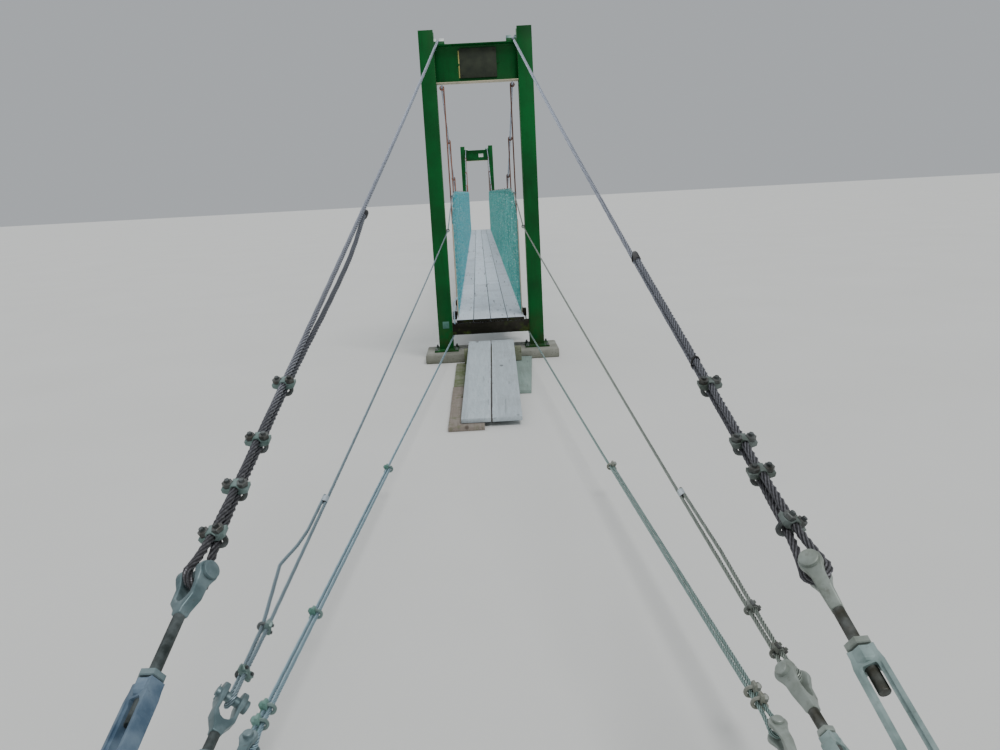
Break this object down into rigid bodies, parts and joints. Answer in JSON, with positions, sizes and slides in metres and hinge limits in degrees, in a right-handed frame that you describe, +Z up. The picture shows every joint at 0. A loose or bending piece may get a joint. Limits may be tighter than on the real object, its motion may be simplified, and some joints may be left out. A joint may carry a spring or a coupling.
{
  "type": "rope suspension footbridge",
  "caption": "Narrow suspension footbridge: steel portal towers, wire rope cables to anchor blocks, plank deck on hung cross beams, mesh sides and a board ramp at each end.",
  "frame": {"origin": "on the ground under the middle of the span, midway between the two towers", "axes": "+Y runs along the deck away from the end that the picture shows, +X to the right seen from that end, +Z up"},
  "size_m": [2.2, 38.74, 3.393],
  "materials": {
    "green_paint": "semi-gloss, weathered",
    "bronze_plate": "dark patina",
    "white_plate": "satin",
    "saddle_metal": "galvanised, matt",
    "galvanised_steel": "galvanised",
    "wire_rope": "stranded, dull",
    "coated_mesh": "glossy coating over wire",
    "grey_timber": "weathered",
    "dark_timber": "creosoted, weathered",
    "old_timber": "mossy, weathered",
    "concrete": "cast, rough"
  },
  "bodies": {
    "root": {"near_footing": "concrete", "far_footing": "concrete", "near_crossbeam": "green_paint", "far_crossbeam": "green_paint", "near_end_timber": "dark_timber", "far_end_timber": "dark_timber", "near_ramp_bed": "old_timber", "far_ramp_bed": "old_timber", "near_left_column": "green_paint", "near_right_column": "green_paint", "far_left_column": "green_paint", "far_right_column": "green_paint", "near_left_saddle": "saddle_metal", "near_right_saddle": "saddle_metal", "far_left_saddle": "saddle_metal", "far_right_saddle": "saddle_metal", "near_left_ramp_board": "grey_timber", "near_right_ramp_board": "grey_timber", "far_left_ramp_board": "grey_timber", "far_right_ramp_board": "grey_timber", "near_left_anchor_block": "concrete", "near_right_anchor_block": "concrete", "far_left_anchor_block": "concrete", "far_right_anchor_block": "concrete", "near_left_turnbuckles": "galvanised_steel", "near_right_turnbuckles": "galvanised_steel", "far_left_turnbuckles": "galvanised_steel", "far_right_turnbuckles": "galvanised_steel", "near_plaque": "bronze_plate", "far_notice": "white_plate", "left_main_cable": "wire_rope", "right_main_cable": "wire_rope", "left_hand_cable": "wire_rope", "right_hand_cable": "wire_rope", "left_deck_cable": "wire_rope", "right_deck_cable": "wire_rope", "left_fence": "coated_mesh", "right_fence": "coated_mesh", "cross_frame_01": "dark_timber", "cross_frame_02": "dark_timber", "cross_frame_03": "dark_timber", "cross_frame_04": "dark_timber", "cross_frame_05": "dark_timber", "cross_frame_06": "dark_timber", "cross_frame_07": "dark_timber", "cross_frame_08": "dark_timber", "cross_frame_09": "dark_timber", "cross_frame_10": "dark_timber", "cross_frame_11": "dark_timber", "cross_frame_12": "dark_timber", "cross_frame_13": "dark_timber", "cross_frame_14": "dark_timber", "cross_frame_15": "dark_timber", "cross_frame_16": "dark_timber", "cross_frame_17": "dark_timber", "deck_planks_row_1": "grey_timber", "deck_planks_row_2": "grey_timber", "deck_planks_row_3": "grey_timber", "deck_planks_row_4": "grey_timber"}
  },
  "joints": []
}
